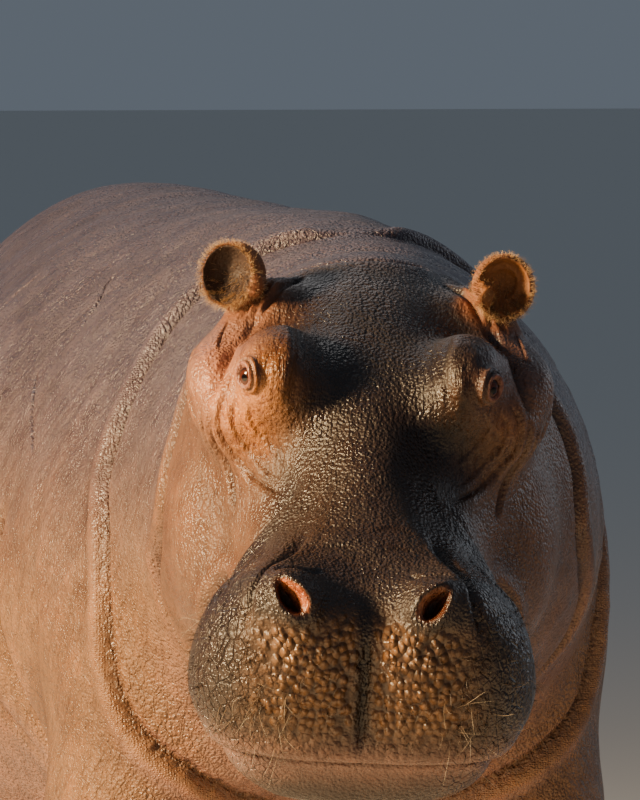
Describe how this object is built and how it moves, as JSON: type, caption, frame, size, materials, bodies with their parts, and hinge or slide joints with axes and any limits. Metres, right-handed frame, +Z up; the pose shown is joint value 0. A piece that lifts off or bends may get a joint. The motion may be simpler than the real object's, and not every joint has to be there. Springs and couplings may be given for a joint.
{
  "type": "hippopotamus",
  "caption": "Life-size standing hippopotamus, still, with its mouth shut and its head lowered a little and turned to its right.",
  "frame": {"origin": "on the floor, under the middle of the animal's overall length and width", "axes": "+Y runs from the muzzle back towards the tail, along the body's length; +X to the animal's left; +Z up"},
  "size_m": [1.0566, 3.2506, 1.4389],
  "materials": {
    "hide": "bare skin, damp, finely pebbled, purple-grey above and pinkish brown below",
    "eye": "polished, dark amber-brown",
    "nail": "horn, satin, dark grey-brown"
  },
  "bodies": {
    "root": {"trunk": "hide", "neck": "hide", "head": "hide", "lower_jaw": "hide", "ear_left": "hide", "ear_right": "hide", "leg_fore_left": "hide", "leg_fore_right": "hide", "leg_hind_left": "hide", "leg_hind_right": "hide", "tail": "hide", "eye_left": "eye", "eye_right": "eye", "nail_fore_left_1": "nail", "nail_fore_left_2": "nail", "nail_fore_left_3": "nail", "nail_fore_left_4": "nail", "nail_fore_right_1": "nail", "nail_fore_right_2": "nail", "nail_fore_right_3": "nail", "nail_fore_right_4": "nail", "nail_hind_left_1": "nail", "nail_hind_left_2": "nail", "nail_hind_left_3": "nail", "nail_hind_left_4": "nail", "nail_hind_right_1": "nail", "nail_hind_right_2": "nail", "nail_hind_right_3": "nail", "nail_hind_right_4": "nail"}
  },
  "joints": []
}
